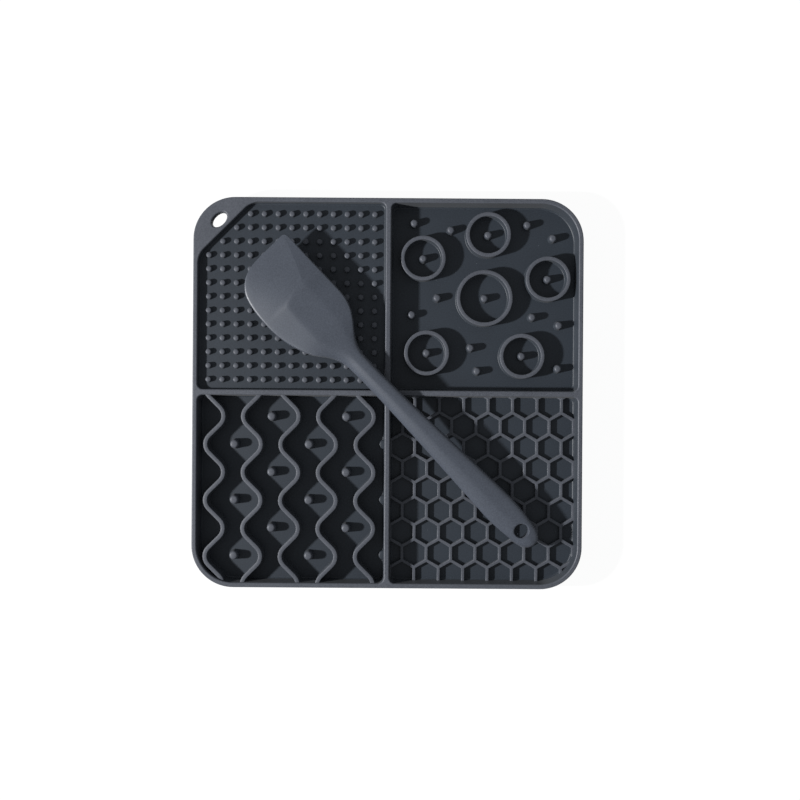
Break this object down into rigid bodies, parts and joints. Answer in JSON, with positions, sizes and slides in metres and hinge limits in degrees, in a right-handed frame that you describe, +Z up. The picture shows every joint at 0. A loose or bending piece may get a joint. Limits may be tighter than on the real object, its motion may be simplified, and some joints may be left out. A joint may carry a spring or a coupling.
{
  "type": "lick mat",
  "caption": "Square silicone lick mat with differently textured feeding panels, a hanging tab, suction cups underneath and a matching spatula laid across it.",
  "frame": {"origin": "middle of the square mat, on the plane that the suction cups' lips stand on", "axes": "+Z up out of the open panels, +X towards the ring and honeycomb panels, +Y towards the edge with the hanging tab"},
  "size_m": [0.2, 0.2, 0.0269],
  "materials": {
    "mat_silicone": "matte moulded silicone with a fine dust-like speckle",
    "spatula_silicone": "matte moulded silicone, a little lighter than the mat",
    "core_nylon": "glass-filled nylon, hidden inside the silicone"
  },
  "bodies": {
    "mat": {"base_floor": "mat_silicone", "outer_rim": "mat_silicone", "hanging_tab": "mat_silicone", "panel_dividers": "mat_silicone", "raised_panel_floor": "mat_silicone", "short_nubs": "mat_silicone", "small_rings": "mat_silicone", "large_ring": "mat_silicone", "ring_panel_nubs": "mat_silicone", "wave_ribs": "mat_silicone", "wave_panel_nubs": "mat_silicone", "honeycomb_walls": "mat_silicone", "suction_cups": "mat_silicone"},
    "spatula": {"spatula_blade": "spatula_silicone", "spatula_handle": "spatula_silicone", "spatula_core": "core_nylon"}
  },
  "joints": [
    {"name": "spatula_lift", "type": "slide", "parent": "mat", "child": "spatula", "axis": [0, 0, 1], "range_m": [0, 0.06]}
  ]
}
